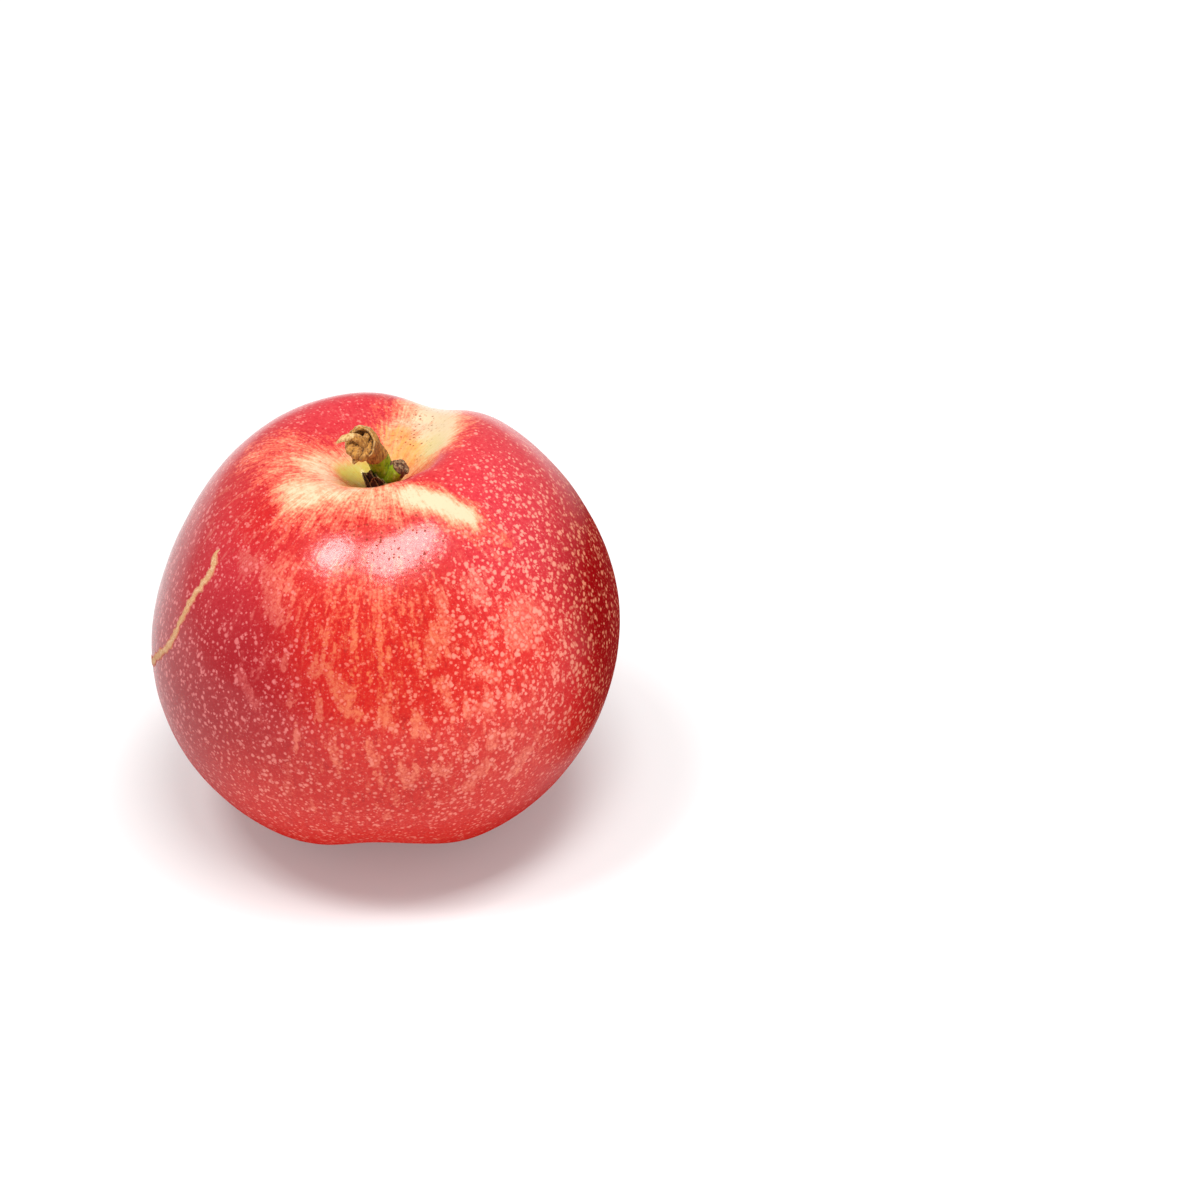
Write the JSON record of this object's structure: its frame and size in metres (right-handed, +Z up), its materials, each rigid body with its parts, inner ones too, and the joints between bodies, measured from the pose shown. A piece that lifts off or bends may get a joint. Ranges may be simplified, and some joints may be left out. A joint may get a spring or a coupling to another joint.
{
  "type": "nectarine",
  "caption": "Whole ripe nectarine with a red and yellow freckled skin, a deep stem cavity, a seam groove and a short forked stem.",
  "frame": {"origin": "under the middle of the fruit, on the surface that it rests on", "axes": "+Z up along the stem axis, -Y to the front of the fruit, the seam groove up the back right side"},
  "size_m": [0.0664, 0.0668, 0.0652],
  "materials": {
    "skin": "smooth waxy fruit skin, red over yellow, freckled",
    "stalk": "green bark with a dry brown torn end",
    "dry_scale": "dry dark bud scales"
  },
  "bodies": {
    "root": {"fruit": "skin", "stem": "stalk", "bud_scales": "dry_scale"}
  },
  "joints": []
}
